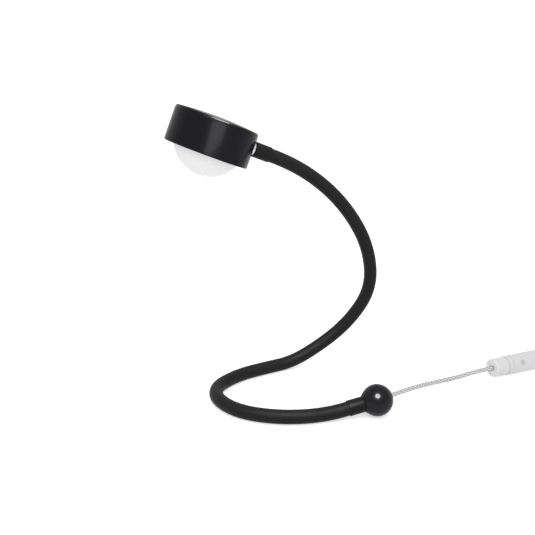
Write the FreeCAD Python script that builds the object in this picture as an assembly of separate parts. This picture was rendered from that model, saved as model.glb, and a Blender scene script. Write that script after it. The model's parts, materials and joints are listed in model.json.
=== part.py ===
"""A reading lamp on a flexible neck.

A drum head with an opal dome hangs from a bendable neck. The neck's lower half lies on the table as a
loop and ends in a ball, and the lamp stands on that loop and ball. The cord leaves the ball, passes an
inline switch and ends, after a wound coil, in a compact plug-in driver.

Frame: the origin is where the ball touches the table, +Z is up, the loop lies towards -X, the cord leaves
towards +X, and +Y is the far side, where the neck rises. Lengths are in millimetres, angles in degrees.
"""
import FreeCAD, Part
import math
import os
from FreeCAD import Matrix, Placement, Rotation, Vector

# Fits shared by every piece
FIT = 0.1            # radial play of pieces that are pushed together for good
RUNNING_FIT = 0.05   # radial play of the head's swivel
SLIDING_FIT = 0.1    # radial play of the push button in its hole

# Neck: a rubber sleeve over a steel hose, with the cable inside. Each arc of the neck is one link.
NECK_RADIUS = 6.0
SLEEVE_WALL = 1.4
HOSE_WALL = 1.9
CABLE_RADIUS = 2.0
LINK_GAP = 0.3       # between the round end of a link and the cup of the next
HOSE_SETBACK = 1.0   # a hose ends this far before the hinge
CABLE_SETBACK = 0.5  # a cable stretch ends this far before the hinge
HOSE_GROOVE = 0.4
HOSE_PITCH = 4.0
NECK_HEADING = 194.0  # the way the neck leaves the ball, seen from above, anticlockwise from +X
BALL_RUN = 15.0       # straight stretch of the neck between the ball's surface and the first link
FIRST_LINK = 26.0     # this link levels the neck out onto the table
# Each further link: its length, how far it bends, and the roll of its bending plane from the last one's.
# The first five bend clockwise on the table, and the rest climb to the head.
LINK_LENGTHS = (52.0, 42.0, 34.0, 37.0, 29.0, 28.0, 34.0, 41.0, 37.0, 42.0, 47.0, 40.0, 27.0)
LINK_ANGLES = (34.0, 44.0, 58.0, 25.0, 4.0, 27.0, 14.0, 26.0, 35.0, 22.0, 17.0, 15.0, 8.0)
ROLL_ANGLES = (0.0, 0.0, 0.0, 0.0, 0.0, -68.0, 0.0, -6.0, -21.0, 1.0, -1.0, 28.0, -10.0)

# End sleeves of the neck
FERRULE_RADIUS = 6.7
FERRULE_SEAT = 7.0         # how far the neck is pushed into each end sleeve
BALL_FERRULE_LENGTH = 13.6
HEAD_FERRULE_LENGTH = 15.0
NIPPLE_SEAT = 6.0          # depth of the nipple's bearing in the head's end sleeve

# Ball
BALL_RADIUS = 13.5
BALL_NOSE_REACH = 12.4    # from the ball's centre to the flat end of its conical nose
BALL_NOSE_RIM = 0.3       # the nose's end stands this far outside the end sleeve
SPIGOT_RADIUS = 4.6       # of the end sleeve's tail inside the ball
SPIGOT_FLOOR = 5.5        # from the ball's centre to the bottom of the tail's socket
BALL_SCREW_RADIUS = 2.0
BALL_SCREW_LENGTH = 4.0
BALL_SCREW_PLACE = 8.0    # from the ball's centre along the tail
BALL_SCREW_SOCKET = 1.1   # radius of its key socket
CORD_HEADING = 35.0       # the way the cord leaves the ball
BUSH_WALL = 1.2
BUSH_FLANGE = 1.6         # the bush's flange is this much larger than its barrel
BUSH_FLANGE_LENGTH = 1.2
BUSH_LENGTH = 6.0         # with its flange
BUSH_PROUD = 0.8          # the flange's face stands this far outside the ball

# Head: a drum with its mouth downwards, in its own frame: the origin is the middle of the mouth, +Z runs up
# the drum's axis and +X points to the neck.
DRUM_RADIUS = 36.5
DRUM_SIDE = 30.5
DRUM_CROWN = 2.1
DRUM_WALL = 1.2
DRUM_TOP = 1.5
DRUM_SHOULDER = 2.0       # rounding between side and crown
DRUM_LIP = 0.5            # rounding of the mouth's outer edge
NIPPLE_HEIGHT = 17.75     # of the neck's axis above the mouth
BOSS_RADIUS = 4.5
COLLAR_LENGTH = 2.2       # chrome ring between the drum and the neck's end sleeve
COLLAR_RADIUS = 5.2
SWIVEL_GAP = 0.3
HEAD_STRAIGHT = 20.5      # from the neck's last bend to the drum's side
NIPPLE_RADIUS = 4.0
NIPPLE_BORE = 2.4
NIPPLE_INSIDE = 7.0       # how far the nipple stands inside the drum's wall
NUT_FLATS = 13.0
NUT_LENGTH = 3.0
DOME_RADIUS = 31.0
DOME_DROP = 18.7          # how far the dome stands below the mouth
DOME_WALL = 2.0
RING_RECESS = 0.4         # the retaining ring's face lies this far inside the mouth
RING_LENGTH = 1.6
RING_SKIRT = 2.0
SINK_HEIGHT = 8.0         # underside of the heat sink above the mouth
SINK_LENGTH = 3.0
FIN_TOP = 24.0
FIN_THICK = 1.6
FIN_OFFSETS = (-25.0, -19.0, -13.0, -7.0, 7.0, 13.0, 19.0, 25.0)
BOARD_RADIUS = 24.0
BOARD_LENGTH = 1.6
CHIP_SIZE = 3.0
CHIP_HEIGHT = 0.8
CHIP_RING = 15.0
CHIP_COUNT = 12
BOARD_SCREW_RADIUS = 1.5  # one screw in the middle holds the board and the sink to the drum's boss
BOARD_SCREW_LENGTH = 14.0
BOARD_SCREW_HEAD_RADIUS = 2.7
BOARD_SCREW_HEAD_LENGTH = 2.0
BLOCK_SIZE = (11.0, 10.0, 12.0)
BLOCK_GAP = 1.3           # between the block's face and the nipple's end
WIRE_RADIUS = 0.6
WIRE_SPACING = 2.4
WIRE_HOLE = 3.0
WIRE_PLACE = 12.0         # from the drum's axis to the hole that the board's wires pass

# Cord: its route is a list of points chosen by hand, and no three are in line
CORD_RADIUS = 2.0
CORES_RADIUS = 1.3        # of the hole that the cord's two cores pass
LAMP_CORD_POINTS = [
    (26.05, 18.24, 13.5), (38.5, 32.2, 10.3), (52.5, 47.0, 6.4), (66.0, 59.2, 3.5),
    (80.0, 66.6, 2.9), (93.5, 69.4, 5.8), (107.29, 71.41, 9.0),
]

# Inline switch: its own frame has its origin in the middle of the inlet's face and +X along the barrel
SWITCH_PLACE = (118.53, 76.41)
SWITCH_HEADING = 24.0
SWITCH_ROLL = 65.0        # the button leans this far from the top towards the front
SWITCH_RADIUS = 9.0
SWITCH_WALL = 1.5
CAP_RADIUS = 8.4
CAP_ROUND = 2.0
CAP_LENGTH = 14.5
SWITCH_NUT_LENGTH = 5.0
SWITCH_CHAMFER = 0.8
SWITCH_SEAM = 0.4         # gap between neighbouring rings of the housing
BARREL_LENGTH = 41.5
BARREL_GROOVE = 34.5      # from the barrel's front edge to its groove
GROOVE_WIDTH = 1.0
GROOVE_DEPTH = 0.5
SPIGOT_LENGTH = 5.0       # how far a cap's tail reaches into the barrel
BUTTON_RADIUS = 2.4
BUTTON_PLACE = 9.5        # from the barrel's front edge
BUTTON_RECESS = 0.5       # the button's face lies this far inside the barrel's surface
BUTTON_TRAVEL = 1.0
BUTTON_FLANGE = 0.9       # width and thickness of the button's flange
BUTTON_FLOAT = 0.3        # play between flange and barrel, and between stem and contact at full travel
CONTACT_SIZE = 6.0
SWITCH_BOARD_THICK = 1.2
SWITCH_BOARD_DEPTH = 1.0  # the board's top lies this far below the barrel's axis
SWITCH_BOARD_LENGTH = 30.0

# Supply cord beyond the switch
COIL_PLACE = (247.0, 91.0)
COIL_TURN_OUTER = 26.0    # radius of the outermost turn's middle line
COIL_TURN_INNER = 16.0
COIL_LAYERS = 4
COIL_ROUND = 1.8
SUPPLY_POINTS = [(202.94, 114.0, 9.0), (217.0, 117.6, 5.6), (231.0, 117.3, 2.7)]
PLUG_CORD_POINTS = [(273.4, 80.0, 14.1), (274.0, 68.0, 13.0)]

# Plug-in driver: its own frame has its origin where the cord enters the relief and +X towards the pins
PLUG_PLACE = (274.0, 56.0)
PLUG_HEADING = -90.0
RELIEF_LENGTH = 22.0
RELIEF_TIP = 3.2
RELIEF_ROOT = 4.8
RELIEF_TAIL = 3.0         # its tail inside the cover
PLUG_WIDTH = 35.0
PLUG_HEIGHT = 26.0
PLUG_ROUND = 9.0
PLUG_EDGE = 2.5
PLUG_WALL = 2.0
COVER_LENGTH = 26.0
PLUG_BODY_LENGTH = 20.0
PLUG_FRONT = 4.0          # thickness of the wall that holds the pins
PIN_RADIUS = 2.0          # of the bare end, which meets the socket's contact
PIN_LENGTH = 19.0
PIN_SHANK_RADIUS = 1.7    # of the insulated shank behind the bare end
PIN_SHANK_LENGTH = 10.0
PIN_SPACING = 18.6
PIN_TAIL = 7.0            # from the outer face inwards
PLUG_BOARD_THICK = 1.6
PLUG_BOARD_MARGIN = 3.0
TRANSFORMER_SIZE = (14.0, 16.0, 7.0)

Z = Vector(0, 0, 1)


def heading(angle, rise=0.0):
    """The unit vector that points along a compass-like angle in plan and rises by another."""
    a, r = math.radians(angle), math.radians(rise)
    return Vector(math.cos(a) * math.cos(r), math.sin(a) * math.cos(r), math.sin(r))


def turned(vector, axis, angle):
    return Rotation(axis, angle).multVec(vector)


def disc(centre, normal, radius):
    return Part.Face(Part.Wire(Part.makeCircle(radius, centre, normal)))


def rod(start, direction, length, radius):
    return Part.makeCylinder(radius, length, start, direction)


def tube(start, direction, length, radius, bore):
    return rod(start, direction, length, radius).cut(rod(start, direction, length, bore))


def lathe(points):
    """A solid turned about the local X axis from (x, r) points."""
    face = Part.Face(Part.makePolygon([Vector(x, 0, r) for x, r in points + points[:1]]))
    return face.revolve(Vector(0, 0, 0), Vector(1, 0, 0), 360)


def placed(shape, origin, x_axis, z_axis):
    """A shape from its own frame put at an origin, with its X and Z axes along the given ones."""
    y_axis = z_axis.cross(x_axis)
    matrix = Matrix(
        x_axis.x, y_axis.x, z_axis.x, origin.x,
        x_axis.y, y_axis.y, z_axis.y, origin.y,
        x_axis.z, y_axis.z, z_axis.z, origin.z,
        0, 0, 0, 1,
    )
    moved = shape.copy()
    moved.Placement = Placement(matrix).multiply(shape.Placement)
    return moved


def save(name, *solids):
    shape = solids[0] if len(solids) == 1 else Part.makeCompound(list(solids))
    shape.exportStep(f"parts/{name}.step")


class Arc:
    """One arc of the neck's middle line, which starts at a point in a direction and bends about an axis."""

    def __init__(self, start, direction, axis, length, bend):
        self.start, self.direction, self.axis = start, direction, axis
        self.length, self.bend = length, bend
        radius = length / math.radians(bend)
        self.centre = start + axis.cross(direction) * radius
        self.end = self.at(length)
        self.end_direction = self.heading_at(length)

    def at(self, distance):
        angle = self.bend * distance / self.length
        return self.centre + turned(self.start - self.centre, self.axis, angle)

    def heading_at(self, distance):
        return turned(self.direction, self.axis, self.bend * distance / self.length)

    def rod(self, radius, start=0.0, end=None):
        """A round bar along the arc, between two distances from its start."""
        end = self.length if end is None else end
        face = disc(self.at(start), self.heading_at(start), radius)
        return face.revolve(self.centre, self.axis, self.bend * (end - start) / self.length)


def levelling_angle(run, arc, drop):
    """How steeply a straight run leaves the ball so that one arc after it ends level, this far lower."""
    low, high = 1e-4, math.radians(60)
    for _ in range(60):
        middle = (low + high) / 2
        fall = run * math.sin(middle) + arc * (1 - math.cos(middle)) / middle
        low, high = (middle, high) if fall < drop else (low, middle)
    return math.degrees(low)


# The neck's middle line, from the ball to the head
ball_centre = Vector(0, 0, BALL_RADIUS)
neck_run = BALL_RADIUS + BALL_RUN
neck_slope = levelling_angle(neck_run, FIRST_LINK, BALL_RADIUS - NECK_RADIUS)
neck_out = heading(NECK_HEADING, -neck_slope)


def neck_arcs():
    """The arcs of all links: the first levels out onto the table, and each next one starts at its end."""
    level_axis = heading(NECK_HEADING).cross(Z)
    arcs = [Arc(ball_centre + neck_out * neck_run, neck_out, level_axis, FIRST_LINK, neck_slope)]
    axis = Z * -1
    for length, angle, roll in zip(LINK_LENGTHS, LINK_ANGLES, ROLL_ANGLES):
        last = arcs[-1]
        axis = turned(axis, last.end_direction, roll)
        arcs.append(Arc(last.end, last.end_direction, axis, length, angle))
    return arcs


ARCS = neck_arcs()
sleeve_bore = NECK_RADIUS - SLEEVE_WALL
hose_radius = sleeve_bore - FIT
hose_bore = hose_radius - HOSE_WALL
cup_radius = NECK_RADIUS + LINK_GAP
hose_start = math.sqrt(cup_radius**2 - hose_bore**2)  # clear of the last link's round end in every bend
ferrule_bore = NECK_RADIUS + FIT

# Where the neck ends at the head: the head's own axes follow from the neck's last direction
head_in = ARCS[-1].end_direction
head_x = head_in * -1
head_z = (Z - head_in * Z.dot(head_in)).normalize()
neck_end = ARCS[-1].end
drum_wall_point = neck_end + head_in * HEAD_STRAIGHT
head_origin = drum_wall_point + head_in * DRUM_RADIUS - head_z * NIPPLE_HEIGHT
head_ferrule_start = HEAD_STRAIGHT - COLLAR_LENGTH - SWIVEL_GAP  # from the last bend to the end sleeve


def neck_stub(at_ball, radius, back):
    """A straight bar from an end of the neck into its end sleeve."""
    if at_ball:
        return rod(ARCS[0].start, neck_out * -1, back, radius)
    return rod(neck_end, head_in, back, radius)


ball_ferrule_end = BALL_NOSE_REACH + BALL_FERRULE_LENGTH  # from the ball's centre
bush_face = BALL_RADIUS + BUSH_PROUD  # from the ball's centre
ball_stub = neck_run - ball_ferrule_end + FERRULE_SEAT
head_stub = head_ferrule_start - HEAD_FERRULE_LENGTH + FERRULE_SEAT


def neck_sleeve(number):
    """The rubber sleeve of one link: a bent tube with a round end, and a cup for the last link's end."""
    arc = ARCS[number]
    first, last = number == 0, number == len(ARCS) - 1
    solid = arc.rod(NECK_RADIUS)
    bore = arc.rod(sleeve_bore)
    if first:
        solid = solid.fuse(neck_stub(True, NECK_RADIUS, ball_stub))
        bore = bore.fuse(neck_stub(True, sleeve_bore, ball_stub))
    else:
        solid = solid.cut(Part.makeSphere(cup_radius, arc.start))
    if last:
        solid = solid.fuse(neck_stub(False, NECK_RADIUS, head_stub))
        bore = bore.fuse(neck_stub(False, sleeve_bore, head_stub))
    else:
        solid = solid.fuse(Part.makeSphere(NECK_RADIUS, arc.end))
        bore = bore.fuse(rod(arc.end, arc.end_direction, NECK_RADIUS, sleeve_bore))
    return solid.cut(bore).removeSplitter()


def neck_core(number):
    """The steel hose of one link, with its winding grooves, and the stretch of cable inside it."""
    arc = ARCS[number]
    first, last = number == 0, number == len(ARCS) - 1
    start, end = (0.0 if first else hose_start), (arc.length if last else arc.length - HOSE_SETBACK)
    hose = arc.rod(hose_radius, start, end)
    bore = arc.rod(hose_bore, start, end)
    groove = (HOSE_GROOVE, hose_radius + HOSE_GROOVE, hose_radius - HOSE_GROOVE)
    for k in range(1, int((end - start) / HOSE_PITCH)):
        at = start + HOSE_PITCH * k
        hose = hose.cut(tube(arc.at(at), arc.heading_at(at), *groove))
    cable_start, cable_end = CABLE_SETBACK, arc.length - CABLE_SETBACK
    if first:
        hose = hose.fuse(neck_stub(True, hose_radius, ball_stub))
        bore = bore.fuse(neck_stub(True, hose_bore, ball_stub))
        cable_start = 0.0
    if last:
        hose = hose.fuse(neck_stub(False, hose_radius, head_stub))
        bore = bore.fuse(neck_stub(False, hose_bore, head_stub))
        cable_end = arc.length
    cable = arc.rod(CABLE_RADIUS, cable_start, cable_end)
    if first:
        cable = cable.fuse(neck_stub(True, CABLE_RADIUS, neck_run))
        cable = cable.fuse(Part.makeSphere(CABLE_RADIUS, ball_centre))
        cable = cable.fuse(rod(ball_centre, heading(CORD_HEADING), bush_face, CABLE_RADIUS))
        cable = cable.removeSplitter()
    if last:
        cable = cable.fuse(neck_stub(False, CABLE_RADIUS, head_stub)).removeSplitter()
    return hose.cut(bore).removeSplitter(), cable


def make_neck():
    for number in range(len(ARCS)):
        save(f"neck_sleeve_{number + 1:02d}", neck_sleeve(number))
        save(f"neck_core_{number + 1:02d}", *neck_core(number))


def make_ball():
    """The ball with its conical nose, the neck's end sleeve, the clamping screw and the cord's bush."""
    # the nose is a cone that leaves the sphere along its tangent
    rim = FERRULE_RADIUS + BALL_NOSE_RIM
    rim_distance = math.hypot(BALL_NOSE_REACH, rim)
    tangent = math.atan2(rim, BALL_NOSE_REACH) + math.acos(BALL_RADIUS / rim_distance)
    foot = (BALL_RADIUS * math.cos(tangent), BALL_RADIUS * math.sin(tangent))
    nose = lathe([(foot[0], 0), foot, (BALL_NOSE_REACH, rim), (BALL_NOSE_REACH, 0)])
    side = neck_out.cross(Z).normalize()
    nose = placed(nose, ball_centre, neck_out, side.cross(neck_out))
    ball = Part.makeSphere(BALL_RADIUS, ball_centre).fuse(nose)
    socket = ball_centre + neck_out * SPIGOT_FLOOR
    ball = ball.cut(rod(socket, neck_out, BALL_NOSE_REACH, SPIGOT_RADIUS + FIT))
    # the sphere's cap beyond the nose's flat end is turned off, so that the end sleeve sits flat
    nose_end = ball_centre + neck_out * BALL_NOSE_REACH
    ball = ball.cut(rod(nose_end, neck_out, BALL_RADIUS, FERRULE_RADIUS))
    cord_out = heading(CORD_HEADING)
    passage = CABLE_RADIUS + FIT
    for way in (neck_out, cord_out):
        ball = ball.cut(rod(ball_centre, way, BALL_RADIUS, passage))
    ball = ball.cut(Part.makeSphere(passage, ball_centre))
    # end sleeve: a tail in the ball, and a wider part that takes the neck's end
    ferrule = rod(socket, neck_out, BALL_NOSE_REACH - SPIGOT_FLOOR, SPIGOT_RADIUS)
    ferrule = ferrule.fuse(rod(nose_end, neck_out, BALL_FERRULE_LENGTH, FERRULE_RADIUS))
    ferrule = ferrule.cut(rod(socket, neck_out, ball_ferrule_end, passage))
    neck_seat = ball_centre + neck_out * (ball_ferrule_end - FERRULE_SEAT)
    ferrule = ferrule.cut(rod(neck_seat, neck_out, FERRULE_SEAT, ferrule_bore)).removeSplitter()
    # bush: a barrel in the ball and a flange in a counterbore
    barrel = CORD_RADIUS + BUSH_WALL
    flange = barrel + BUSH_FLANGE
    seat = ball_centre + cord_out * (bush_face - BUSH_LENGTH)
    shoulder = ball_centre + cord_out * (bush_face - BUSH_FLANGE_LENGTH)
    ball = ball.cut(rod(seat, cord_out, BUSH_LENGTH, barrel + FIT))
    ball = ball.cut(rod(shoulder, cord_out, BUSH_LENGTH, flange + FIT))
    bush = rod(seat, cord_out, BUSH_LENGTH, barrel)
    bush = bush.fuse(rod(shoulder, cord_out, BUSH_FLANGE_LENGTH, flange))
    bush = bush.cut(rod(seat, cord_out, BUSH_LENGTH, passage)).removeSplitter()
    # headless screw from the far side against the end sleeve's tail
    screw_at = ball_centre + neck_out * BALL_SCREW_PLACE
    screw_out = side if side.y > 0 else side * -1
    ball = ball.cut(rod(screw_at, screw_out, BALL_RADIUS, BALL_SCREW_RADIUS + FIT)).removeSplitter()
    screw = rod(screw_at + screw_out * SPIGOT_RADIUS, screw_out, BALL_SCREW_LENGTH, BALL_SCREW_RADIUS)
    key_at = screw_at + screw_out * (SPIGOT_RADIUS + BALL_SCREW_LENGTH / 2)
    key = rod(key_at, screw_out, BALL_SCREW_LENGTH, BALL_SCREW_SOCKET)
    save("base_ball", ball)
    save("ball_ferrule", ferrule)
    save("ball_screw", screw.cut(key))
    save("cord_bush", bush)
    return ball_centre + cord_out * bush_face


def hexagonal_bar(flats, length):
    """A hexagonal bar along X."""
    corner = Vector(0, flats / math.sqrt(3), 0)
    points = [turned(corner, Vector(1, 0, 0), 60 * k) for k in range(7)]
    return Part.Face(Part.makePolygon(points)).extrude(Vector(length, 0, 0))


def make_head():
    """Every piece of the drum head, made in the head's own frame and then put at the end of the neck."""
    nipple_axis = Vector(0, 0, NIPPLE_HEIGHT)
    x_axis = Vector(1, 0, 0)
    cavity_radius = DRUM_RADIUS - DRUM_WALL

    def crown(radius, side, rise):
        """A drum that is open or closed, with a spherical top that rises above its side."""
        sphere_radius = (radius**2 + rise**2) / (2 * rise)
        ball = Part.makeSphere(sphere_radius, Vector(0, 0, side + rise - sphere_radius))
        return rod(Vector(0, 0, 0), Z, side + rise, radius).common(ball)

    shell = crown(DRUM_RADIUS, DRUM_SIDE, DRUM_CROWN)
    rings = [e for e in shell.Edges if e.BoundBox.ZLength < 0.01]
    shoulder = [e for e in rings if abs(e.BoundBox.ZMin - DRUM_SIDE) < 0.01]
    mouth = [e for e in rings if abs(e.BoundBox.ZMin) < 0.01]
    shell = shell.makeFillet(DRUM_SHOULDER, shoulder).makeFillet(DRUM_LIP, mouth)
    sink_top = SINK_HEIGHT + SINK_LENGTH
    boss = rod(Vector(0, 0, sink_top), Z, DRUM_SIDE - sink_top, BOSS_RADIUS)
    shell = shell.cut(crown(cavity_radius, DRUM_SIDE - DRUM_TOP, DRUM_CROWN)).fuse(boss)
    screw_hole = rod(Vector(0, 0, SINK_HEIGHT), Z, BOARD_SCREW_LENGTH, BOARD_SCREW_RADIUS + FIT)
    shell = shell.cut(screw_hole)
    shell = shell.cut(rod(nipple_axis, x_axis, DRUM_RADIUS, NIPPLE_RADIUS + FIT)).removeSplitter()

    # opal dome: part of a hollow ball, whose rim stands between the retaining ring and the heat sink
    ring_radius = cavity_radius - FIT
    rim_radius = ring_radius - RING_SKIRT - FIT
    ring_top = RING_RECESS + RING_LENGTH
    dome_middle = Vector(0, 0, DOME_RADIUS - DOME_DROP)
    dome_edge = math.sqrt(DOME_RADIUS**2 - (dome_middle.z - ring_top) ** 2)
    dome = Part.makeSphere(DOME_RADIUS, dome_middle)
    dome = dome.cut(rod(Vector(0, 0, ring_top), Z, 2 * DOME_RADIUS, DOME_RADIUS))
    dome = dome.fuse(rod(Vector(0, 0, ring_top), Z, SINK_HEIGHT - ring_top, rim_radius))
    inside = Part.makeSphere(DOME_RADIUS - DOME_WALL, dome_middle)
    rim_floor = Vector(0, 0, ring_top + DOME_WALL)
    dome = dome.cut(inside.cut(rod(rim_floor, Z, 2 * DOME_RADIUS, DOME_RADIUS)))
    dome = dome.cut(rod(rim_floor, Z, SINK_HEIGHT, rim_radius - DOME_WALL)).removeSplitter()

    # retaining ring: a flat ring around the dome, with a skirt around the dome's rim
    ring = rod(Vector(0, 0, RING_RECESS), Z, SINK_HEIGHT - RING_RECESS, ring_radius)
    ring = ring.cut(rod(Vector(0, 0, ring_top), Z, SINK_HEIGHT, ring_radius - RING_SKIRT))
    ring = ring.cut(rod(Vector(0, 0, 0), Z, SINK_HEIGHT, dome_edge + FIT))

    # the nipple's inner end, and the face of the terminal block that stands before it
    nipple_start = cavity_radius - NIPPLE_INSIDE
    block_face = nipple_start - BLOCK_GAP

    # heat sink: a disc with upright fins that leave room for the boss, the block and the nut
    sink = rod(Vector(0, 0, SINK_HEIGHT), Z, SINK_LENGTH, ring_radius)
    fin_reach = ring_radius - RING_SKIRT
    fin_front = block_face - BLOCK_SIZE[0] - 2 * FIN_THICK
    for offset in FIN_OFFSETS:
        half = math.sqrt(fin_reach**2 - (abs(offset) + FIN_THICK) ** 2)
        front = min(half, fin_front)
        corner = Vector(-half, offset - FIN_THICK / 2, SINK_HEIGHT)
        sink = sink.fuse(Part.makeBox(half + front, FIN_THICK, FIN_TOP - SINK_HEIGHT, corner))
    sink = sink.cut(rod(Vector(0, 0, SINK_HEIGHT), Z, SINK_LENGTH, BOARD_SCREW_RADIUS + FIT))
    sink = sink.cut(rod(Vector(WIRE_PLACE, 0, SINK_HEIGHT), Z, SINK_LENGTH, WIRE_HOLE)).removeSplitter()

    # board, its screw and its LEDs
    board_floor = SINK_HEIGHT - BOARD_LENGTH
    board = rod(Vector(0, 0, board_floor), Z, BOARD_LENGTH, BOARD_RADIUS)
    board = board.cut(rod(Vector(0, 0, board_floor), Z, BOARD_LENGTH, BOARD_SCREW_RADIUS + FIT))
    screw = rod(Vector(0, 0, board_floor), Z, BOARD_SCREW_LENGTH, BOARD_SCREW_RADIUS)
    screw_head = Vector(0, 0, board_floor - BOARD_SCREW_HEAD_LENGTH)
    screw = screw.fuse(rod(screw_head, Z, BOARD_SCREW_HEAD_LENGTH, BOARD_SCREW_HEAD_RADIUS))
    screw = screw.removeSplitter()
    chips = []
    for k in range(CHIP_COUNT):
        corner = Vector(CHIP_RING - CHIP_SIZE / 2, -CHIP_SIZE / 2, board_floor - CHIP_HEIGHT)
        chip = Part.makeBox(CHIP_SIZE, CHIP_SIZE, CHIP_HEIGHT, corner)
        chip.rotate(Vector(0, 0, 0), Z, 360.0 * k / CHIP_COUNT)
        chips.append(chip)

    # nipple, its nut and the chrome ring; the nut bears on the drum's curved wall
    nipple_end = DRUM_RADIUS + COLLAR_LENGTH + SWIVEL_GAP + NIPPLE_SEAT
    nipple_length = nipple_end - nipple_start
    nipple = tube(nipple_axis + x_axis * nipple_start, x_axis, nipple_length, NIPPLE_RADIUS, NIPPLE_BORE)
    nut_corner = NUT_FLATS / math.sqrt(3)
    nut = hexagonal_bar(NUT_FLATS, NUT_LENGTH)
    nut.translate(nipple_axis + x_axis * (math.sqrt(cavity_radius**2 - nut_corner**2) - NUT_LENGTH))
    nut = nut.cut(rod(nipple_axis, x_axis, DRUM_RADIUS, NIPPLE_RADIUS + FIT))
    collar = tube(nipple_axis, x_axis, DRUM_RADIUS + COLLAR_LENGTH, COLLAR_RADIUS, NIPPLE_RADIUS + FIT)
    collar = collar.cut(rod(Vector(0, 0, 0), Z, DRUM_SIDE, DRUM_RADIUS))

    # terminal block, the cable to it, and the two wires from it to the board
    block_corner = Vector(block_face - BLOCK_SIZE[0], -BLOCK_SIZE[1] / 2, sink_top)
    block = Part.makeBox(*BLOCK_SIZE, block_corner)
    wiring = [rod(nipple_axis + x_axis * block_face, x_axis, nipple_end - block_face, CABLE_RADIUS)]
    rise = NIPPLE_HEIGHT - SINK_HEIGHT
    for side in (-1, 1):
        foot = Vector(WIRE_PLACE, side * WIRE_SPACING / 2, SINK_HEIGHT)
        elbow = foot + Z * rise
        level = rod(elbow, x_axis, block_corner.x - WIRE_PLACE, WIRE_RADIUS)
        wire = rod(foot, Z, rise, WIRE_RADIUS).fuse(Part.makeSphere(WIRE_RADIUS, elbow)).fuse(level)
        wiring.append(wire.removeSplitter())

    pieces = {
        "head_housing": [shell], "lens_dome": [dome], "lens_ring": [ring], "heat_sink": [sink],
        "led_board": [board], "led_chips": chips, "board_screw": [screw], "head_nipple": [nipple],
        "nipple_nut": [nut], "neck_collar": [collar], "terminal_block": [block], "head_wiring": wiring,
    }
    for name, solids in pieces.items():
        save(name, *[placed(solid, head_origin, head_x, head_z) for solid in solids])


def make_head_ferrule():
    """The neck's end sleeve at the head: it turns on the nipple and holds the neck's end."""
    start = neck_end + head_in * head_ferrule_start
    out = head_in * -1
    ferrule = tube(start, out, HEAD_FERRULE_LENGTH, FERRULE_RADIUS, CABLE_RADIUS + FIT)
    ferrule = ferrule.cut(rod(start, out, NIPPLE_SEAT + FIT, NIPPLE_RADIUS + RUNNING_FIT))
    seat = start + out * (HEAD_FERRULE_LENGTH - FERRULE_SEAT)
    ferrule = ferrule.cut(rod(seat, out, FERRULE_SEAT, ferrule_bore))
    save("head_ferrule", ferrule.removeSplitter())


def cord_solid(name, start, route, end):
    """A cord's tube: straight runs joined by tangent arcs, each as large as its two runs allow."""
    points = [start] + [Vector(*point) for point in route] + [end]
    edges, at, radii = [], points[0], []
    for before, corner, after in zip(points, points[1:], points[2:]):
        run_in, run_out = corner - before, after - corner
        way_in, way_out = Vector(run_in).normalize(), Vector(run_out).normalize()
        half_turn = way_in.getAngle(way_out) / 2
        reach = 0.45 * min(run_in.Length, run_out.Length)
        radius = reach / math.tan(half_turn)
        radii.append(radius)
        arc_start, arc_end = corner - way_in * reach, corner + way_out * reach
        inward = (way_out - way_in).normalize()
        middle = corner + inward * (radius / math.cos(half_turn) - radius)
        edges.append(Part.LineSegment(at, arc_start).toShape())
        edges.append(Part.Arc(arc_start, middle, arc_end).toShape())
        at = arc_end
    edges.append(Part.LineSegment(at, points[-1]).toShape())
    path = Part.Wire(edges)
    ring = Part.Wire(Part.makeCircle(CORD_RADIUS, points[0], points[1] - points[0]))
    solid = path.makePipeShell([ring], True, False)
    section = math.pi * CORD_RADIUS**2
    print(f"{name}: length {path.Length:.1f}, radii {', '.join(f'{r:.0f}' for r in radii)}, "
          f"volume over section times length {solid.Volume / (section * path.Length):.4f}")
    save(name, solid)


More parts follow.
